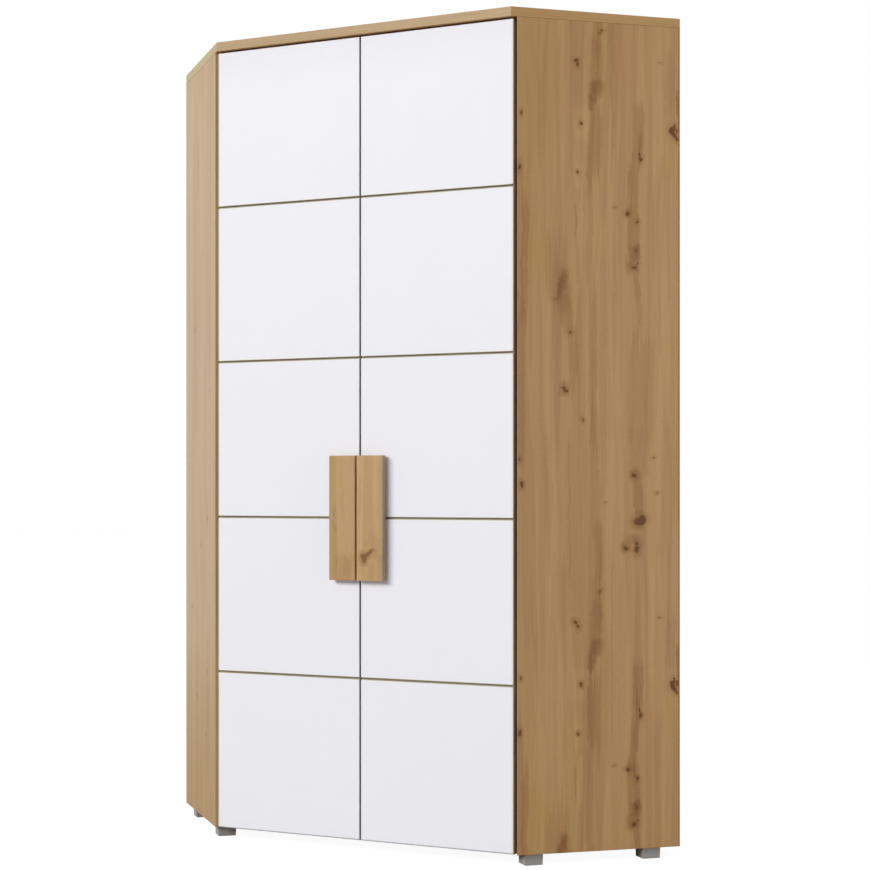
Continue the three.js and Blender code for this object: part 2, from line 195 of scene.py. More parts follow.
# A streak: upper end (across, up, half width), lower end (same), strength, kind.
SIDE_STREAKS = [
    ((214, 790, 12), (213, 560, 13), .30, "brown"),
    ((207, 448, 16), (206, 275, 17), .36, "brown"), ((198, 430, 8), (192, 40, 7), .26, "dark"),
    ((201, 1330, 10), (204, 960, 12), .30, "brown"), ((203, 1190, 5), (206, 1000, 6), .15, "dark"), ((207, 1030, 13), (212, 780, 12), .25, "brown"),
    ((215, 800, 7), (215, 645, 7), .30, "brown"),
    ((316, 466, 14), (318, 355, 13), .42, "brown"), ((317, 362, 12), (299, 222, 12), .46, "brown"),
    ((300, 232, 15), (306, 120, 17), .42, "brown"), ((307, 136, 15), (309, 104, 17), .40, "brown"),
    ((300, 110, 14), (306, 70, 20), .35, "red"),
    ((312, 74, 11), (318, 12, 5), .40, "brown"), ((317, 14, 7), (322, -60, 4), .30, "brown"),
    ((112, 130, 32), (120, -40, 26), .22, "brown"),
    ((132, 1330, 16), (142, 1230, 13), .30, "brown"), ((148, 1250, 12), (156, 1120, 12), .30, "brown"),
    ((132, 1122, 15), (132, 1088, 13), .35, "red"),
    ((325, 1215, 30), (322, 990, 36), .26, "brown"), ((320, 1010, 26), (322, 905, 24), .22, "brown"),
    ((312, 915, 14), (313, 895, 16), .36, "brown"), ((313, 895, 10), (318, 812, 13), .42, "brown"),
    ((304, 765, 30), (300, 716, 28), .15, "brown"),
    ((307, 826, 2.5), (307, 800, 2.5), 1.6, "light"), ((300, 745, 3), (300, 728, 3), 1.2, "light"),
    ((34, 250, 8), (32, -60, 9), .42, "red"),
    ((170, 245, 7), (169, 105, 8), .75, "light"), ((158, 225, 3), (157, 150, 3), .35, "dark"),
    ((170, 455, 18), (172, 380, 17), .50, "light"), ((170, 330, 15), (172, 270, 14), .40, "light"),
    ((251, 700, 3), (250, 270, 2.5), .22, "dark"), ((144, 1000, 2), (144, 640, 2), .25, "dark"),
    ((290, 645, 30), (286, 505, 28), .80, "pink"), ((19, 1290, 13), (21, 930, 13), .40, "red"), ((19, 330, 12), (20, -60, 12), .30, "red"),
    ((404, 1260, 5), (404, 740, 5), .8, "yellow"), ((419, 500, 4), (419, 425, 4), .8, "dark"),
    ((402, 560, 12), (398, 430, 14), .25, "red"), ((401, 398, 14), (404, 300, 8), .50, "yellow"),
    ((60, 560, 22), (62, 330, 26), .10, "brown"), ((88, 1000, 12), (92, 780, 12), .10, "brown"),
    ((372, 700, 24), (372, 330, 24), .35, "light"), ((118, 960, 16), (120, 700, 20), .30, "light"),
    ((246, 980, 14), (240, 760, 14), .30, "light"), ((64, 190, 24), (70, 40, 26), .35, "yellow"),
]
# A patch of several soft ellipses: kind, strength, ellipses (across, up, half width, half height).
SIDE_PATCHES = [
    ("brown", .70, [(212, 506, 22, 18), (208, 492, 20, 20), (201, 476, 13, 18), (197, 458, 10, 18)]),
    ("brown", .36, [(205, 496, 9, 11), (198, 474, 6, 15)]),
    ("brown", .45, [(211, 560, 19, 70), (209, 525, 18, 22)]),
    ("brown", .55, [(130, 56, 13, 20), (126, 38, 15, 18), (119, 20, 10, 17)]),
    ("brown", .35, [(126, 48, 8, 14), (121, 30, 7, 10)]),
    ("brown", .25, [(130, 20, 24, 70)]),
    ("brown", .38, [(314, 128, 11, 20), (309, 106, 15, 16), (303, 90, 17, 16)]),
    ("brown", .35, [(318, 800, 22, 24), (306, 745, 26, 26), (284, 738, 14, 16)]),
]
# The left side panel, measured in the same way from its own front edge.
LEFT_KNOTS = [(126, 798, 5, 9, .45), (210, 726, 4, 6, .35), (126, 404, 4, 5, .4), (141, 240, 4, 5, .4),
              (298, 1290, 4.5, 7, .5), (180, 1480, 3.5, 5, .4), (335, 560, 4.5, 6, .5), (92, 1120, 3.5, 5, .3),
              (250, 1720, 4, 6, .5), (366, 930, 3.5, 5, .4), (262, 330, 4, 6, .45)]
LEFT_STREAKS = [((112, 370, 10), (112, 255, 8), .25, "brown"), ((130, 860, 14), (124, 760, 12), .20, "brown"),
                ((300, 1420, 12), (296, 1200, 12), .20, "brown"), ((250, 1800, 10), (254, 1640, 10), .20, "brown")]
LEFT_HANDLE_STREAKS = [
    ((351, 850, 5), (349, 655, 6), .30, "red"), ((352, 955, 20), (358, 880, 22), .45, "yellow"),
    ((372, 714, 26), (372, 640, 26), .25, "brown"), ((373, 875, 6), (373, 800, 5), .14, "brown"),
    ((384, 710, 10), (380, 660, 12), .18, "brown"), ((352, 790, 4), (350, 770, 4), .22, "red"),
]
RIGHT_HANDLE_KNOTS = [(427, 712, 5.5, 7, 1.0), (433, 711, 6, 7, 1.0), (438, 713, 6, 6.5, 1.0),
                      (430, 704, 5, 7, .95), (435, 703, 4, 5, .8), (432, 699, 4.5, 4, 1.0),
                      (443, 717, 5.5, 4.5, 1.0), (448, 721, 5, 3.4, .9), (454, 725, 6, 2.2, .75)]
RIGHT_HANDLE_STREAKS = [
    ((466, 765, 14), (440, 728, 24), .18, "brown"), ((470, 722, 18), (456, 702, 20), .22, "red"),
    ((477, 962, 9), (476, 645, 9), .20, "dark"), ((419, 905, 5), (419, 820, 4), .14, "brown"), ((448, 690, 8), (450, 655, 8), .16, "brown"),
    ((424, 700, 6), (419, 672, 4), .18, "brown"), ((430, 725, 16), (426, 690, 14), .26, "brown"),
]
KINDS = {"brown": (0.60, 0.43, 0.21), "dark": (0.60, 0.50, 0.36), "red": (0.66, 0.47, 0.34),
         "light": (1.16, 1.19, 1.25), "pink": (1.03, 0.97, 1.05), "yellow": (0.97, 0.95, 0.70)}


def oak(name, along, seed, knots=(), streaks=(), w_origin=(0, 0), scatter=1.0, tone=1.0,
        horizontal=None, period=None, figure=1.0, edge=None, hue=(1.0, 1.0, 1.0),
        edge_tint=(1.0, 1.16, 1.22), painted_shade=None, ragged=1.0, knot=(0.145, 0.050, 0.0), patches=(), second=None):
    """Knotty oak print. `along` is the plan direction across the grain of an upright board
    (grain upright); with `horizontal` it is the plan direction that the grain follows."""
    m = Tree(name)
    x, y, z = m.split(m.co)[:3]
    ax, ay = along
    if horizontal is None:
        # both plan axes enter, so faces and ends both get the pattern
        dx, dy = m.sub(x, w_origin[0]), m.sub(y, w_origin[1])
        w0 = m.add(m.mul(dx, ax), m.mul(dy, ay))
        w = m.add(w0, m.mul(m.add(m.mul(dx, -ay), m.mul(dy, ax)), 0.9))
        l = z
    else:
        nz = m.math("ABSOLUTE", m.split(m.n)[2])
        flat = m.math("GREATER_THAN", nz, 0.6)
        ww = m.add(m.mul(x, -ay), m.mul(y, ax))
        w0 = w = m.add(m.mul(ww, flat), m.mul(z, m.sub(1.0, flat)))
        l = m.add(m.add(m.mul(x, ax), m.mul(y, ay)), m.mul(m.mul(ww, 0.35), m.sub(1.0, flat)))

    def field(kw, kl, off, detail=2.0, rough=0.5, src=None):
        return m.noise(m.join(m.mul(src or w, kw), m.mul(l, kl), seed + off), detail=detail, rough=rough)

    # slow wander of the grain, and a finer one for ragged outlines
    w1 = m.add(w, m.mul(m.sub(field(3.0, 1.3, 0.0, 1.5), 0.5), 0.035))
    rag_w = m.sub(field(60.0, 45.0, 3.1, 2.0), 0.5)
    rag_l = m.sub(field(45.0, 60.0, 9.7, 2.0), 0.5)
    rag = m.noise(m.join(m.mul(w, 170.0), m.mul(l, 130.0), seed + 5.5), detail=3, rough=0.65)
    dist = None
    lk = l if period is None else m.sub(m.math("FLOORED_MODULO", m.add(l, 0.10), period), 0.10)
    if knots:
        here = m.join(m.add(w0, m.mul(rag_w, 0.010)), m.add(lk, m.mul(rag_l, 0.016)), 0.0)
        for (a, h, rw, rl, k) in knots:
            d = m.vec("MULTIPLY", m.vec("SUBTRACT", here, (a * MM, h * MM, 0)), (1000 / rw / 1.22, 1000 / rl / 1.12, 0))
            d = m.vec("LENGTH", d)
            if k < 1:
                d = m.add(d, (1 - k) * 0.70)
            dist = d if dist is None else m.math("MINIMUM", dist, d)
    # scattered pin knots with a faint streak: one in a few cells of a stretched grid
    CW, CL = 9.0, 3.1
    cell = m.join(m.add(m.mul(w1, CW), seed * 3.7), m.add(m.mul(l, CL), seed * 1.9), 0.0)
    vn = m.t.nodes.new("ShaderNodeTexVoronoi")
    vn.voronoi_dimensions = "2D"
    vn.inputs["Scale"].default_value = 1.0
    vn.inputs["Randomness"].default_value = 0.75
    m.put(vn.inputs["Vector"], cell)
    rel = m.vec("SUBTRACT", cell, vn.outputs["Position"])
    pick = m.split(vn.outputs["Color"])
    chosen = m.math("GREATER_THAN", pick[1], 1.0 - 0.5 * scatter)
    size = m.ramp(pick[0], 0.3, 1.0, 0.0025, 0.0075, smooth=False)
    rel_mm = m.vec("MULTIPLY", rel, (1 / CW, 0.62 / CL, 0.0))
    dv = m.math("DIVIDE", m.vec("LENGTH", rel_mm), size)
    dv = m.add(dv, m.mul(m.sub(1.0, chosen), 60.0))
    dist = dv if dist is None else m.math("MINIMUM", dist, dv)
    dist = m.add(dist, m.mul(m.sub(rag, 0.5), m.ramp(dist, 0.0, 2.0, 1.3 * ragged, 0.4 * ragged, smooth=False)))
    long = m.vec("LENGTH", m.vec("MULTIPLY", rel, (1000 / CW / 13, 1000 / CL / 105, 0.0)))
    streak = m.mul(m.ramp(m.add(long, m.mul(rag_w, 0.5)), 0.35, 1.0, 1.0, 0.0), chosen)
    core = m.ramp(dist, 0.55, 1.12, 1.0, 0.0)
    halo = m.ramp(dist, 0.8, 2.9, 1.0, 0.0)
    # the grain lines bend past the knots
    w2 = m.add(w1, m.mul(halo, 0.006))
    broad = m.sub(field(9.0, 0.55, 0.0, 2.0, 0.5, w2), 0.5)
    zone_a = m.ramp(field(21.0, 0.95, 1.1, 1.5, 0.45, w2), 0.525, 0.575)
    zone_b = m.ramp(field(48.0, 1.7, 2.2, 1.5, 0.45, w2), 0.555, 0.61)
    zone_c = m.ramp(field(34.0, 1.3, 3.3, 1.5, 0.45, w2), 0.58, 0.64)
    vein = m.ramp(m.math("ABSOLUTE", m.sub(field(15.0, 0.45, 4.4, 1.0, 0.4, w2), 0.5)), 0.0, 0.011, 1.0, 0.0)
    mid = m.sub(field(110.0, 2.2, 5.5, 3.0, 0.6, w2), 0.5)
    fine = m.sub(field(430.0, 8.0, 6.6, 3.0, 0.65, w2), 0.5)
    fibre = m.sub(field(1900.0, 34.0, 7.7, 1.0, 0.5, w2), 0.5)
    pore = m.mul(m.ramp(field(2400.0, 75.0, 8.8, 0.0, 0.5, w2), 0.66, 0.78),
                 m.ramp(field(130.0, 3.5, 9.9, 1.0, 0.5, w2), 0.45, 0.7))
    c = (0.545 * tone * hue[0], 0.316 * tone * hue[1], 0.126 * tone * hue[2], 1.0)

    def tint(c, mask, mult, k):
        return m.mix(m.mul(mask, k), c, m.vec("MULTIPLY", c, mult))

    c = m.mix(zone_a, c, tuple(v * k for v, k in zip(c, (0.925, 0.905, 0.875))))
    c = tint(c, zone_b, (0.93, 0.915, 0.89), figure)
    c = tint(c, zone_c, (1.055, 1.06, 1.08), figure)
    c = tint(c, vein, (0.90, 0.87, 0.82), 0.5 * figure)
    c = tint(c, m.ramp(field(13.0, 0.8, 12.0, 1.0, 0.5, w1), 0.50, 0.75), (1.01, 0.955, 0.95), 0.6)
    c = tint(c, m.ramp(field(11.0, 0.7, 14.0, 1.0, 0.5, w1), 0.50, 0.72), (0.97, 1.01, 0.88), 0.7)
    level = m.add(m.add(m.mul(broad, 0.16), m.mul(mid, 0.12)), m.add(m.mul(fine, 0.20), m.mul(fibre, 0.12)))
    c = m.vec("SCALE", c, scale=m.add(1.0, level))
    for kind, k, parts in patches:
        soft_at = m.join(m.add(w0, m.mul(rag_w, 0.012)), m.add(lk, m.mul(rag_l, 0.022)), 0.0)
        near = None
        for (a, h, rw, rl) in parts:
            d = m.vec("MULTIPLY", m.vec("SUBTRACT", soft_at, (a * MM, h * MM, 0)), (1000 / rw, 1000 / rl, 0))
            d = m.vec("LENGTH", d)
            near = d if near is None else m.math("SMOOTH_MIN", near, d)
            if near is not d:
                near.node.inputs[2].default_value = 0.25
        cover = m.ramp(near, 0.45, 1.20, 1.0, 0.0)
        c = m.mix(cover, c, tuple(1 + (v - 1) * k for v in KINDS[kind]), "MULTIPLY")
    if streaks:
        ws = m.add(w0, m.mul(rag_w, 0.009))
        ws = m.add(ws, m.mul(m.sub(m.noise(m.join(m.mul(l, 9.0), 0.0, seed)), 0.5), 0.018))
        # short marks keep ragged outlines, long ones run out along the grain
        feather = m.sub(field(150.0, 3.0, 15.5, 2.0, 0.6), 0.5)
        # two foldings of the repeat, so that no mark lies across a fold
        lk2 = l if period is None else m.sub(m.math("FLOORED_MODULO", m.add(l, 0.755), period), 0.755)
        short, long_ = [], []
        for q in (lk, lk2):
            short.append(m.join(ws, m.add(m.add(q, m.mul(rag_l, 0.022)), m.mul(feather, 0.022)), 0.0))
            long_.append(m.join(ws, m.add(q, m.mul(feather, 0.26)), 0.0))
        for (sa, za, ha), (sb, zb, hb), k, kind in streaks:
            fold = 0
            if period is not None and not 250 < (za + zb) / 2 < 860:
                fold = 1
                if (za + zb) / 2 > 555:
                    za, zb = za - period * 1000, zb - period * 1000
            run, lean, h = za - zb, math.atan2(sa - sb, za - zb), (ha + hb) / 2
            mp = m.t.nodes.new("ShaderNodeMapping")
            mp.vector_type = "TEXTURE"
            mp.inputs["Location"].default_value = ((sa + sb) / 2 * MM, (za + zb) / 2 * MM, 0)
            mp.inputs["Rotation"].default_value = (0, 0, -lean)
            mp.inputs["Scale"].default_value = (h * MM, run / 2 * MM, 1)
            m.put(mp.inputs["Vector"], (short if run < 130 else long_)[fold])
            mr = m.t.nodes.new("ShaderNodeMapRange")
            mr.data_type, mr.interpolation_type = "FLOAT_VECTOR", "SMOOTHSTEP"
            soft = 0.35 if run < 130 else min(0.45, 45.0 / run)
            for i, v in ((7, (0.74, 1 - soft, 0)), (8, (1.24, 1 + soft, 1)), (9, (1, 1, 0)), (10, (0, 0, 0))):
                mr.inputs[i].default_value = v
            m.put(mr.inputs[6], m.vec("ABSOLUTE", mp.outputs[0]))
            q = m.split(mr.outputs[1])
            mult = tuple(max(0.05, 1 + (v - 1) * k) for v in KINDS[kind])
            c = m.mix(m.mul(q[0], q[1]), c, mult, "MULTIPLY")
    c = tint(c, streak, (0.86, 0.81, 0.74), 0.8)
    c = m.mix(m.mul(pore, 0.40), c, (0.160 * tone, 0.078 * tone, 0.026 * tone))
    c = tint(c, halo, (0.76, 0.63, 0.42), 0.62)
    c = m.mix(m.mul(core, 0.93), c, tuple(v * tone for v in knot))
    if edge is not None:
        # edge faces in another tint: edge banding of another print roll, and on the handle bars painted light on the
        # left bar's end in the gap between the bars and painted shade on the right bar's outer end
        c = m.mix(edge(m), c, m.vec("MULTIPLY", c, edge_tint))
    # a second tint on a masked part; on the left side panel it is painted shade
    if second is not None:
        c = m.mix(second[0](m), c, m.vec("MULTIPLY", c, second[1]))
    # painted shade laid over the print, such as the door cores' shade in the grooves and at the seam
    if painted_shade is not None:
        for mask, colour in painted_shade(m):
            c = m.mix(mask, c, colour)
    rough = m.add(m.add(0.42, m.mul(fine, 0.10)), m.mul(m.add(pore, core), 0.10))
    m.set(Base_Color=c, Roughness=rough)
    m.bsdf.inputs["Specular IOR Level"].default_value = 0.45
    h = m.sub(m.add(m.mul(fibre, 0.35), m.mul(fine, 0.5)), m.add(m.mul(pore, 1.3), m.mul(core, 0.5)))
    m.bump(h, 0.35, 0.00012)
    return m.mat


# ------------------------------------------------------------------ other finishes
def lacquer(name, seed):
    """Satin white lacquer with a faint orange peel, and painted shade at the seam, the doors' outer edges, the grooves,
    the lower edge and under the top board.
    """
    m = Tree(name)
    v = m.vec("ADD", m.co, (seed * 0.37, seed * 0.11, seed * 0.71))
    cloud = m.noise(v, scale=2.3, detail=3.0)
    c = m.mix(cloud, (0.874, 0.868, 0.912), (0.884, 0.878, 0.920))
    speck = m.noise(v, scale=900.0, detail=0.0)
    c = m.mix(m.ramp(speck, 0.74, 0.82, 0.0, 0.10), c, (0.70, 0.69, 0.67))
    peel = m.noise(v, scale=260.0, detail=2.0, rough=0.45)
    wipe = m.noise(m.vec("MULTIPLY", v, (9.0, 9.0, 3.0)), detail=4.0, rough=0.6)
    # painted shade: dark grey on the side edges at the seam and on the right door's outer edge, grey-brown on the walls
    # that line the grooves
    x, y, z = m.split(m.co)[:3]
    nx, ny, nz = [m.math("ABSOLUTE", q) for q in m.split(m.n)[:3]]
    inner = m.mul(m.math("GREATER_THAN", z, 0.033), m.math("LESS_THAN", z, 1.955))
    away = m.math("ABSOLUTE", x)
    groove = m.math("ABSOLUTE", m.sub(m.math("FLOORED_MODULO", m.sub(z, 0.22325), 0.3863), 0.19315))
    span = m.mul(m.math("GREATER_THAN", z, 0.2), m.math("LESS_THAN", z, 1.8))
    # the painted shade reaches over the rounded edges and the first millimetres of the front: warm shade along the
    # doors' outer edges next to the side panels, grey shade beside the seam, a faint warm shade and a grey-brown band
    # along the grooves
    rim = m.mix(m.math("GREATER_THAN", x, 0.0), (0.97, 0.86, 0.76), (0.86, 0.81, 0.67))
    c = m.mix(m.ramp(away, 0.4036, 0.4062), c, rim, "MULTIPLY")
    c = m.mix(m.ramp(away, 0.0018, 0.0056, 0.27, 0.0), c, (0.20, 0.20, 0.20))
    c = m.mix(m.mul(m.ramp(groove, 0.0040, 0.0090, 1.0, 0.0), span), c, (1.0, 0.988, 0.950), "MULTIPLY")
    c = m.mix(m.mul(m.ramp(groove, 0.0018, 0.0042, 1.0, 0.0), span), c, (0.34, 0.262, 0.04))
    # painted shade on the side edges at the seam and on the right door's outer edge
    side = m.mul(m.ramp(nx, 0.80, 0.86), m.math("GREATER_THAN", x, -0.30))
    c = m.mix(side, c, (0.36, 0.36, 0.365))
    # painted shade on the walls of the grooves
    c = m.mix(m.mul(m.ramp(nz, 0.45, 0.65), inner), c, (0.46, 0.405, 0.30))
    # painted shade on the down-facing rounded lower edge of the doors
    under = m.mul(m.ramp(m.split(m.n)[2], -0.75, -0.05, 1.0, 0.0), m.math("LESS_THAN", z, 0.034))
    c = m.mix(under, c, (0.58, 0.58, 0.585))
    # painted shade under the top board: the doors darker towards their top
    c = m.mix(m.ramp(z, 1.84, 1.958, 0.0, 0.06), c, (0.42, 0.415, 0.43))
    m.set(Base_Color=c, Roughness=m.ramp(wipe, 0.3, 0.7, 0.50, 0.56))
    m.bsdf.inputs["Specular IOR Level"].default_value = 0.35
    m.bump(peel, 0.16, 0.00025)
    return m.mat


def hardboard(name, outward):
    """Thin board: printed oak on the side facing in, raw fibre on the side facing the wall."""
    m = Tree(name)
    x, y, z = m.split(m.co)[:3]
    out = m.math("GREATER_THAN", m.vec("DOT_PRODUCT", m.n, (*outward, 0.0)), 0.4)
    w = m.add(m.mul(x, outward[1]), m.mul(y, -outward[0]))
    broad = m.noise(m.join(m.mul(w, 20.0), m.mul(z, 0.8), 3.3), detail=2)
    fine = m.noise(m.join(m.mul(w, 380.0), m.mul(z, 6.0), 1.3), detail=3)
    t = m.add(m.add(0.5, m.mul(m.sub(broad, 0.5), 1.0)), m.mul(m.sub(fine, 0.5), 0.4))
    inside = m.mix(m.ramp(t, 0, 1, smooth=False), (0.34, 0.195, 0.092), (0.54, 0.345, 0.19))
    fib = m.noise(m.vec("MULTIPLY", m.co, (1.0, 1.0, 1.0)), scale=620.0, detail=4.0, rough=0.7)
    mott = m.noise(m.co, scale=38.0, detail=4.0, rough=0.65)
    flake = m.noise(m.co, scale=2100.0, detail=1.0)
    raw = m.mix(m.ramp(fib, 0.3, 0.7), (0.185, 0.098, 0.050), (0.335, 0.205, 0.118))
    raw = m.mix(m.ramp(mott, 0.35, 0.68, 0.0, 0.4), raw, (0.20, 0.115, 0.062))
    raw = m.mix(m.ramp(flake, 0.68, 0.80, 0.0, 0.5), raw, (0.46, 0.33, 0.21))
    m.set(Base_Color=m.mix(out, inside, raw), Roughness=m.add(0.50, m.mul(out, 0.28)))
    m.bump(m.add(m.mul(m.mul(fib, out), 1.0), m.mul(fine, 0.15)), 0.35, 0.0002)
    return m.mat


def plastic(name, base, grain=1500.0, shade=0.55):
    """Moulded plastic with a fine erosion grain; `shade` is painted shade that darkens it towards the board above it.
    """
    m = Tree(name)
    g = m.noise(m.co, scale=grain, detail=3.0, rough=0.6)
    cloud = m.noise(m.co, scale=30.0, detail=3.0)
    scuff = m.noise(m.vec("MULTIPLY", m.co, (60.0, 60.0, 700.0)), detail=3.0)
    lo, hi = tuple(b * 0.92 for b in base), tuple(b * 1.06 for b in base)
    c = m.mix(cloud, lo, hi)
    c = m.mix(m.ramp(scuff, 0.62, 0.8, 0.0, 0.25), c, tuple(min(1, b * 1.6) for b in base))
    z = m.split(m.co)[2]
    # painted shade: darker towards the top, under the carcass
    c = m.mix(m.ramp(z, 0.006, 0.025, 0.0, shade), c, tuple(b * k for b, k in zip(base, (0.42, 0.36, 0.26))))
    m.set(Base_Color=c, Roughness=m.ramp(g, 0.3, 0.7, 0.42, 0.56))
    m.bump(g, 0.35, 0.00008)
    return m.mat


def metal(name, base, rough, brush=(1, 1, 40), spots=0.12):
    """Plated steel: fine brushing, faint clouding, a few handling marks."""
    m = Tree(name)
    b = m.noise(m.vec("MULTIPLY", m.co, tuple(300.0 * k for k in brush)), detail=2.0)
    cloud = m.noise(m.co, scale=55.0, detail=3.0)
    mark = m.noise(m.co, scale=420.0, detail=4.0, rough=0.7)
    c = m.mix(cloud, tuple(k * 0.93 for k in base), base)
    c = m.mix(m.ramp(mark, 0.62, 0.75, 0.0, spots), c, tuple(k * 0.55 for k in base))
    m.set(Base_Color=c, Roughness=m.add(rough, m.mul(m.add(m.sub(b, 0.5), m.sub(cloud, 0.5)), 0.10)))
    m.bsdf.inputs["Metallic"].default_value = 1.0
    m.bump(b, 0.05, 0.00005)
    return m.mat


def core_painted_shade(seam):
    """Painted shade on a core's front face, seen in the grooves, and on its edge at the seam, which faces along `seam`.
    """
    def masks(m):
        nx, ny = m.split(m.n)[:2]
        return ((m.math("LESS_THAN", ny, -0.8), (0.46, 0.405, 0.30)),
                (m.math("GREATER_THAN", m.mul(nx, seam), 0.8), (0.30, 0.30, 0.305)))
    return masks


def facing(direction):
    """Mask of the faces whose normal lies near `direction`."""
    return lambda m: m.math("GREATER_THAN", m.vec("DOT_PRODUCT", m.n, tuple(direction)), 0.9)


RIGHT_ORIGIN = pq(WALL - SIDE, WALL)      # front corner of the top above the right side panel
LEFT_ORIGIN = pq(0, SIDE)
M = {
    "right_side": oak("oak_right_side", (S, S), 2.0, SIDE_KNOTS, SIDE_STREAKS,
                      (RIGHT_ORIGIN.x, RIGHT_ORIGIN.y), scatter=0.0, period=PERIOD, figure=0.9,
                      tone=1.008, patches=SIDE_PATCHES),
    "left_side": oak("oak_left_side", (-S, S), 5.0, LEFT_KNOTS, LEFT_STREAKS,
                     (LEFT_ORIGIN.x, LEFT_ORIGIN.y), scatter=0.0,
                     hue=(0.873, 0.932, 0.970), edge=facing((S, -S, 0)), edge_tint=(1.08, 1.20, 1.60),
                     # the second tint is painted shade: the panel darker from 0.3 m to 1.9 m up, most between 0.75 m
                     # and 1.1 m
                     second=(lambda m: m.mul(m.ramp(m.split(m.co)[2], 1.1, 1.9, 1.0, 0.0),
                                             m.ramp(m.split(m.co)[2], 0.3, 0.75)), (0.93, 0.93, 0.925))),
    "top": oak("oak_top", (1.0, 0.0), 8.0, horizontal=True, scatter=0.6, hue=(1.05, 1.07, 1.05),
               edge=lambda m: m.math("LESS_THAN", m.split(m.n)[1], -0.75), edge_tint=(0.757, 0.815, 0.79),
               second=(facing((-S, -S, 0)), (0.86, 1.13, 1.19))),
    "bottom": oak("oak_bottom", (1.0, 0.0), 11.0, horizontal=True),
    "hat": oak("oak_hat_shelf", (S, S), 14.0, horizontal=True),
    "shelf": oak("oak_shelves", (S, S), 17.0, horizontal=True),
    "partition": oak("oak_partition", (S, -S), 20.0),
    # the cores carry painted shade: their front faces, seen in the grooves, and their seam edges are toned like the
    # shade there
    "core_left": oak("oak_left_core", (1.0, 0.0), 23.0, painted_shade=core_painted_shade(1), edge=facing((-1, 0, 0)), edge_tint=(0.9, 1.05, 1.5)),
    "core_right": oak("oak_right_core", (1.0, 0.0), 26.0, painted_shade=core_painted_shade(-1), edge=facing((1, 0, 0)), edge_tint=(0.9, 1.05, 1.5)),
    # the edge tint here is painted light: the bar's end face in the gap between the bars is made lighter than the oak
    "handle_left": oak("oak_left_handle", (1.0, 0.0), 31.0, (), LEFT_HANDLE_STREAKS,
                       (-FRONT_W / 2 * MM, 0), scatter=0.0, figure=0.5, hue=(0.890, 0.957, 1.045),
                       edge=facing((1, 0, 0)), edge_tint=(1.26, 1.36, 1.50), ragged=0.5),
    # the edge tint here is painted shade: the bar's outer end face is made darker and greyer
    "handle_right": oak("oak_right_handle", (1.0, 0.0), 36.0, RIGHT_HANDLE_KNOTS, RIGHT_HANDLE_STREAKS,
                        (-FRONT_W / 2 * MM, 0), scatter=0.0, figure=0.5, hue=(0.98, 1.06, 1.20),
                        edge=facing((1, 0, 0)), edge_tint=(0.73, 0.92, 1.52), ragged=0.3,
                        knot=(0.170, 0.082, 0.014)),
    "back_left": hardboard("hardboard_left", (-S, S)),
    "back_right": hardboard("hardboard_right", (S, S)),
    "plastic": plastic("grey_foot_plastic", (0.385, 0.365, 0.345)),
    "bumper": plastic("bumper_plastic", (0.60, 0.60, 0.58), 900.0, 0.0),
    "nickel": metal("nickel_plate", (0.62, 0.60, 0.57), 0.26),
    "chrome": metal("chrome_plate", (0.78, 0.78, 0.79), 0.10, spots=0.05),
    "white": lacquer("white_lacquer", 1.0),
}


# ------------------------------------------------------------------ pieces from the CAD shapes
def piece_from(node, name, body, material, bevel, segments=3, angle=30.0, smooth_only=False,
               first=None):
    """A new mesh with the node's exact shape, welded, with rounded edges. `first` picks edges
    that get a larger radius: a test on the edge's two points, and the radius in mm."""
    bm = bmesh.new()
    bm.from_mesh(NODES[node].data)
    bmesh.ops.remove_doubles(bm, verts=bm.verts, dist=2e-6)
    bmesh.ops.dissolve_limit(bm, angle_limit=math.radians(0.5), verts=bm.verts, edges=bm.edges)
    if first is not None:
        test, radius = first
        big = [e for e in bm.edges if all(test(v.co) for v in e.verts)]
        bmesh.ops.bevel(bm, geom=big, offset=radius * MM, offset_type="OFFSET", segments=6,
                        profile=0.5, affect="EDGES", clamp_overlap=True)
    sharp = [e for e in bm.edges if len(e.link_faces) == 2 and e.calc_face_angle(0) > math.radians(angle)]
    if not smooth_only:
        bmesh.ops.bevel(bm, geom=sharp, offset=bevel * MM, offset_type="OFFSET", segments=segments,
                        profile=0.5, affect="EDGES", clamp_overlap=True)
    bmesh.ops.triangulate(bm, faces=[f for f in bm.faces if len(f.verts) > 4])
    bmesh.ops.recalc_face_normals(bm, faces=bm.faces)
    return finish_piece(bm, name, body, material, [node])


def finish_piece(bm, name, body, material, nodes=(), sharp_angle=40.0, weighted=True):
    me = bpy.data.meshes.new(name)
    for f in bm.faces:
        f.smooth = True
    for e in bm.edges:
        e.smooth = not (len(e.link_faces) == 2 and e.calc_face_angle(0) > math.radians(sharp_angle))
    bm.to_mesh(me)
    bm.free()
    o = bpy.data.objects.new(name, me)
    bpy.context.scene.collection.objects.link(o)
    for mat in (material if isinstance(material, (list, tuple)) else [material]):
        me.materials.append(mat)
    if weighted:
        w = o.modifiers.new("weighted", "WEIGHTED_NORMAL")
        w.keep_sharp = True
        w.weight = 100
    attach(o, body)
    if nodes:
        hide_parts(*nodes)
    return o


OAK, WHITE, HARD, GREY, NICK, CHROME = (
    "oak_board", "white_facing", "hardboard", "grey_plastic", "nickel_fitting", "chromed_rail")

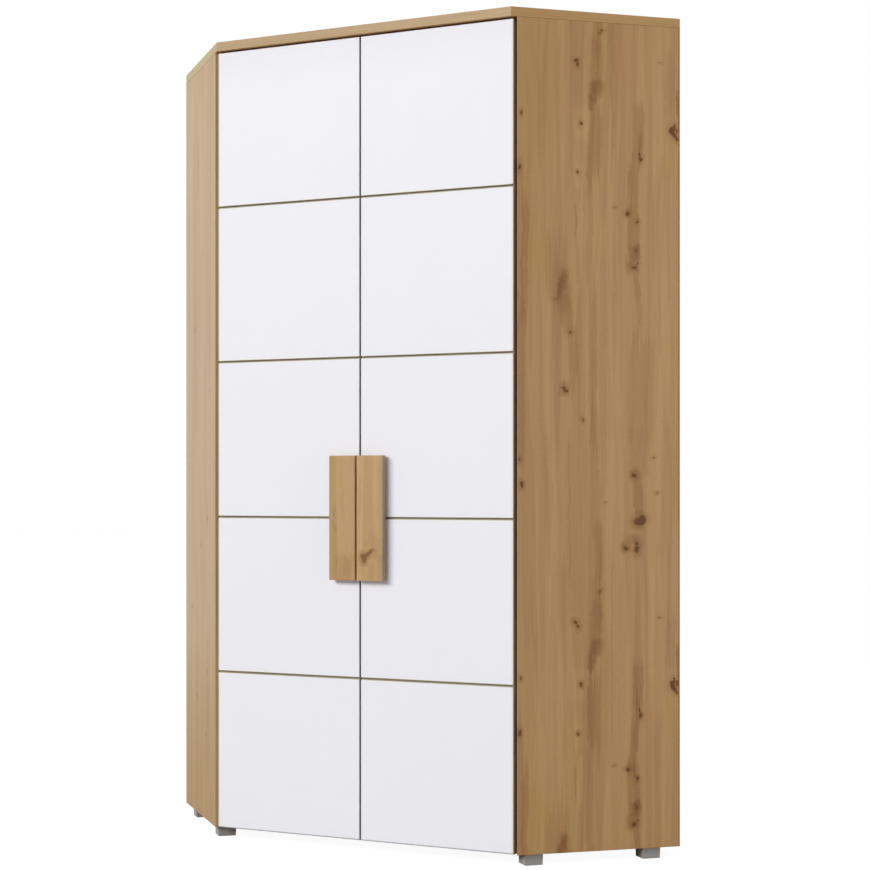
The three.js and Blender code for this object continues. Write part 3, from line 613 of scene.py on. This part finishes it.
piece_from("top_board", "top_board_finished", "root", M["top"], 0.5)
piece_from("left_side_panel", "left_side_finished", "root", M["left_side"], 0.8)
piece_from("right_side_panel", "right_side_finished", "root", M["right_side"], 0.8)
piece_from("bottom_board", "bottom_board_finished", "root", M["bottom"], 0.6)
piece_from("hat_shelf", "hat_shelf_finished", "root", M["hat"], 0.8)
piece_from("partition_panel", "partition_finished", "root", M["partition"], 0.8)
piece_from("back_corner_post", "corner_post_finished", "root", M["partition"], 0.8)
for n in ("shelf_lower", "shelf_middle", "shelf_upper"):
    piece_from(n, n + "_finished", "root", M["shelf"], 0.8)
for s in ("left", "right"):
    piece_from(f"{s}_back_panel", f"{s}_back_finished", "root", M["back_" + s], 0.3, 2)
    body = s + "_door"
    piece_from(f"{s}_door_core", f"{s}_core_finished", body, M["core_" + s], 0.5, 2)
    for i in range(1, 6):
        lower = (lambda co: co.z < 0.0265 and co.y < uv(0, DOOR_V + 1).y, 4.8) if i == 1 else None
        piece_from(f"{s}_facing_{i}", f"{s}_facing_{i}_finished", body, M["white"], 0.7, 3,
                   first=lower)
    piece_from(f"{s}_handle_bar", f"{s}_handle_finished", body, M["handle_" + s], 0.8, 3)
    piece_from(f"{s}_handle_spacer", f"{s}_spacer_finished", body, M["handle_" + s], 0.8, 2)
for n in NODES:
    if n.startswith("foot_"):
        piece_from(n, n + "_finished", "root", M["plastic"], 0.7, 3)
    elif "hinge" in n:
        b = "root" if "_arm_" in n else n.split("_")[0] + "_door"
        piece_from(n, n + "_finished", b, M["nickel"], 0.18, 1, angle=50)
for n, mat, sl in (("clothes_rail", M["chrome"], CHROME), ("rail_flange", M["nickel"], NICK),
                   ("rail_hanger", M["nickel"], NICK)):
    piece_from(n, n + "_finished", "root", mat, 0.3, 2, angle=50)


# ------------------------------------------------------------------ small fittings
def heads(name, body, spots, material, sides=32):
    """Screw, cam or nail heads in one piece. A spot: point on the face, direction that it faces,
    radius, height and depth of its cross recess in mm, and how far it is turned."""
    bm = bmesh.new()
    steps = (0.0, 0.10, 0.20, 0.30, 0.40, 0.50, 0.60, 0.70, 0.80, 0.90, 0.97, 1.0)
    for point, normal, radius, height, recess, turn in spots:
        n = Vector(normal).normalized()
        a = n.orthogonal().normalized()
        b = n.cross(a)
        rows = []
        for r in steps:
            row = []
            for i in range(sides if r else 1):
                t = 2 * math.pi * i / sides
                x, y = abs(r * math.cos(t)), abs(r * math.sin(t))
                arm, off = max(x, y), min(x, y)
                h = height * (0.45 + 0.55 * math.sqrt(max(0.0, 1 - r * r)))
                if off < 0.155 - 0.11 * arm and arm < 0.62:
                    h -= recess * (1 - arm / 0.75)
                d = a * math.cos(t + turn) + b * math.sin(t + turn)
                row.append(bm.verts.new(point + (d * r * radius + n * h) * MM))
            rows.append(row)
        rows.append([bm.verts.new(point + (a * math.cos(2 * math.pi * i / sides + turn) + b * math.sin(
            2 * math.pi * i / sides + turn)) * radius * 1.0 * MM) for i in range(sides)])
        for i in range(sides):
            j = (i + 1) % sides
            bm.faces.new((rows[0][0], rows[1][i], rows[1][j]))
            for lo_, hi_ in zip(rows[1:], rows[2:]):
                bm.faces.new((lo_[i], hi_[i], hi_[j], lo_[j]))
        bm.faces.new(list(reversed(rows[-1])))
    bmesh.ops.recalc_face_normals(bm, faces=bm.faces)
    return finish_piece(bm, name, body, material, sharp_angle=50, weighted=False)


def supports(name, body, spots, material):
    """Bent metal shelf supports in one piece. A spot: point on the board's face under the shelf,
    direction that the face looks in."""
    bm = bmesh.new()
    half = 5.5
    outline = [(0.05, -0.1), (0.05, -11.0), (0.6, -12.0), (1.2, -11.6), (1.4, -11.0), (1.4, -2.3),
               (1.9, -1.5), (2.8, -1.3), (8.6, -1.3), (9.4, -1.0), (9.6, -0.6), (9.4, -0.1)]
    for point, out in spots:
        out = Vector(out).normalized()
        side = Vector((-out.y, out.x, 0))
        ends = []
        for w in (-half, -half + 0.4, half - 0.4, half):
            k = 0.12 if abs(w) == half else 0.0
            ends.append([bm.verts.new(point + (out * (h + (k if h < 1 else -k)) + side * w + Vector((0, 0, z))) * MM)
                         for h, z in outline])
        m = len(outline)
        for p_, q_ in zip(ends, ends[1:]):
            for i in range(m):
                j = (i + 1) % m
                bm.faces.new((p_[i], p_[j], q_[j], q_[i]))
        bm.faces.new(list(reversed(ends[0])))
        bm.faces.new(ends[-1])
        # round peg head on the upright leg
        ring = []
        for r, h in ((2.6, 1.4), (2.6, 2.0), (2.1, 2.5), (1.2, 2.8)):
            ring.append([bm.verts.new(point + (out * h + side * r * math.cos(t) + Vector(
                (0, 0, -6.5 + r * math.sin(t)))) * MM) for t in (2 * math.pi * i / 20 for i in range(20))])
        for p_, q_ in zip(ring, ring[1:]):
            for i in range(20):
                j = (i + 1) % 20
                bm.faces.new((p_[i], p_[j], q_[j], q_[i]))
        bm.faces.new(ring[-1])
        bm.faces.new(list(reversed(ring[0])))
    bmesh.ops.recalc_face_normals(bm, faces=bm.faces)
    bmesh.ops.triangulate(bm, faces=[f for f in bm.faces if len(f.verts) > 4])
    return finish_piece(bm, name, body, material, sharp_angle=35, weighted=False)


ARM0 = (DOOR_BACK - 8.1 - 11.3) * S          # start of a hinge arm, along the side from its corner
HAT_Z, RAIL_P, RAIL_Z = 1640.0, 700.0, 1560.0
rng = random.Random(11)
fixed = []
for side, flip in (("left", 1), ("right", -1)):
    def turned(v):
        return Vector((v.x * flip, v.y, v.z))
    on_door = []
    for hz in HINGE_Z:
        for dz in (-24.6, 24.6):
            on_door.append((turned(uv(22.3, DOOR_BACK + 2.0, hz + dz)), (0, 1, 0), 3.2, 1.1, 0.9, rng.random() * 3))
            fixed.append((turned(pq(18.7, SIDE - ARM0 - 48, hz + dz * 0.69)), turned(Vector((S, S, 0))),
                          3.9, 1.2, 1.0, rng.random() * 3))
        for a in (30.0, 56.0):
            fixed.append((turned(pq(BOARD_T + 23.7, SIDE - ARM0 - a, hz)), turned(Vector((S, S, 0))),
                          3.0, 1.3, 1.0, rng.random() * 3))
    for hz in (712.4, 892.4):
        on_door.append((turned(uv(FRONT_W / 2 - 38.75, DOOR_BACK, hz)), (0, 1, 0), 4.2, 1.4, 1.1, rng.random() * 3))
    heads(f"{side}_door_screws", side + "_door", on_door, M["nickel"])
    heads(f"{side}_door_bumper", side + "_door",
          [(turned(uv(FRONT_W / 2 - 24, DOOR_BACK, 34.6)), (0, 1, 0), 4.5, 1.5, 0.0, 0.0)], M["bumper"])
    # cams that hold the side panels to the top and bottom boards
    for q in (70.0, 300.0):
        for hz in (76.0, 1930.0):
            fixed.append((turned(pq(BOARD_T, q, hz)), turned(Vector((S, S, 0))), 7.4, 0.7, 0.9, rng.random() * 3))
for k in range(3):
    t = math.pi / 2 + k * 2 * math.pi / 3
    fixed.append((pq(RAIL_P + 21.3 * math.cos(t), WALL - BOARD_T - GAP - 2.2, RAIL_Z + 21.3 * math.sin(t)),
                  (-S, S, 0), 2.9, 0.9, 0.8, 0.4 + k))
for dp in (-16.0, 16.0):
    fixed.append((pq(RAIL_P + dp, 197.0, HAT_Z - GAP - 2.5), (0, 0, -1), 3.2, 1.0, 0.9, 0.7 + dp))
heads("carcass_screws", "root", fixed, M["nickel"])

under = []
for hz in (432.0, 832.0, 1232.0):
    for q in (58.0, 338.0):
        under.append((pq(BOARD_T, q, hz), (S, S, 0)))
        under.append((pq(350.0, q, hz), (-S, -S, 0)))
for a in (70.0, 280.0):
    under.append((pq(BOARD_T, a, HAT_Z), (S, S, 0)))
    under.append((pq(WALL - a, WALL - BOARD_T, HAT_Z), (-S, S, 0)))
supports("shelf_supports", "root", under, M["nickel"])

nails = []
for i in range(12):
    hz = 70 + i * 168
    for p_ in (8.0, 981.0):
        nails.append((pq(p_ + rng.uniform(-1, 1), 0, hz + rng.uniform(-4, 4)), (-S, S, 0), 1.9, 0.16, 0.0, 0.0))
    for q_ in (20.0, 992.0):
        nails.append((pq(WALL, q_ + rng.uniform(-1, 1), hz + rng.uniform(-4, 4)), (S, S, 0), 1.9, 0.16, 0.0, 0.0))
for i in range(6):
    for hz in (33.0, HAT_Z + 8):
        a = 150 + i * 140 + rng.uniform(-4, 4)
        nails.append((pq(a, 0, hz), (-S, S, 0), 1.9, 0.16, 0.0, 0.0))
        nails.append((pq(WALL, a, hz), (S, S, 0), 1.9, 0.16, 0.0, 0.0))
heads("back_nails", "root", nails, M["nickel"], sides=14)


# ------------------------------------------------------------------ stage, light
def stage_plane(name, size, z, material):
    bm = bmesh.new()
    bmesh.ops.create_grid(bm, x_segments=8, y_segments=8, size=size)
    me = bpy.data.meshes.new(name)
    bm.to_mesh(me)
    bm.free()
    o = bpy.data.objects.new(name, me)
    o.location.z = z
    bpy.context.scene.collection.objects.link(o)
    me.materials.append(material)
    return o


fl = Tree("studio_floor")
fl.set(Base_Color=(0.45, 0.45, 0.455), Roughness=0.75)
lpf = fl.t.nodes.new("ShaderNodeLightPath").outputs["Is Camera Ray"]
glow = fl.t.nodes.new("ShaderNodeEmission")
glow.inputs[0].default_value = (0.995, 0.99, 1.0, 1)
glow.inputs[1].default_value = 0.955
pale = fl.t.nodes.new("ShaderNodeBsdfDiffuse")
pale.inputs[0].default_value = (0.15, 0.15, 0.15, 1)
both = fl.t.nodes.new("ShaderNodeAddShader")
fl.t.links.new(glow.outputs[0], both.inputs[0])
fl.t.links.new(pale.outputs[0], both.inputs[1])
pick = fl.t.nodes.new("ShaderNodeMixShader")
fl.t.links.new(lpf, pick.inputs[0])
fl.t.links.new(fl.bsdf.outputs[0], pick.inputs[1])
fl.t.links.new(both.outputs[0], pick.inputs[2])
fl.t.links.new(pick.outputs[0], fl.out.inputs[0])
stage_plane("studio_floor", 30.0, -0.0004, fl.mat)

# studio surround: dim in front, brighter behind; plain white where the camera sees it
world = bpy.data.worlds.new("studio")
bpy.context.scene.world = world
world.use_nodes = True
wt = world.node_tree
bg = wt.nodes["Background"]
bg.inputs[0].default_value = (0.98, 0.985, 1.0, 1)
wco = wt.nodes.new("ShaderNodeTexCoord")
wsp = wt.nodes.new("ShaderNodeSeparateXYZ")
wmr = wt.nodes.new("ShaderNodeMapRange")
wt.links.new(wco.outputs["Generated"], wsp.inputs[0])
wt.links.new(wsp.outputs[1], wmr.inputs[0])
wmr.inputs[1].default_value, wmr.inputs[2].default_value = -1.0, 1.0
wmr.inputs[3].default_value, wmr.inputs[4].default_value = 0.16, 0.46
wt.links.new(wmr.outputs[0], bg.inputs[1])
lp = wt.nodes.new("ShaderNodeLightPath")
bg2 = wt.nodes.new("ShaderNodeBackground")
bg2.inputs[0].default_value = (1, 1, 1, 1)
bg2.inputs[1].default_value = 1.0
mx = wt.nodes.new("ShaderNodeMixShader")
wt.links.new(lp.outputs["Is Camera Ray"], mx.inputs[0])
wt.links.new(bg.outputs[0], mx.inputs[1])
wt.links.new(bg2.outputs[0], mx.inputs[2])
wt.links.new(mx.outputs[0], wt.nodes["World Output"].inputs[0])


def area(name, direction, distance, size, level, target=(0, -0.5, 1.0), color=(1, 1, 1)):
    """Softbox; `level` is the brightness that it gives a white card facing it."""
    d = Vector(direction).normalized()
    ld = bpy.data.lights.new(name, "AREA")
    ld.shape, ld.energy, ld.color = "RECTANGLE", level * math.pi ** 2 * distance ** 2, color
    ld.size, ld.size_y = size if isinstance(size, tuple) else (size, size)
    o = bpy.data.objects.new(name, ld)
    bpy.context.scene.collection.objects.link(o)
    o.location = Vector(target) + d * distance
    o.rotation_mode = "QUATERNION"
    o.rotation_quaternion = (-d).to_track_quat("-Z", "Y")
    o.visible_camera = False
    return o


area("key", (-0.41, -0.86, 0.42), 22.0, (15.5, 7.0), 0.797, target=(0, -0.5, 0.80))
area("fill", (0.965, -0.26, 0.0), 3.0, (1.2, 3.4), 0.26, target=(0.56, -0.35, 0.9))
area("rim", (-0.885, 0.465, 0.05), 4.5, 4.2, 0.235, target=(-0.56, -0.35, 0.8))
area("overhead", (0.0, 0.1, 1.0), 4.5, 3.0, 0.20)

bpy.context.scene.view_settings.view_transform = "Standard"
bpy.context.scene.view_settings.look = "None"
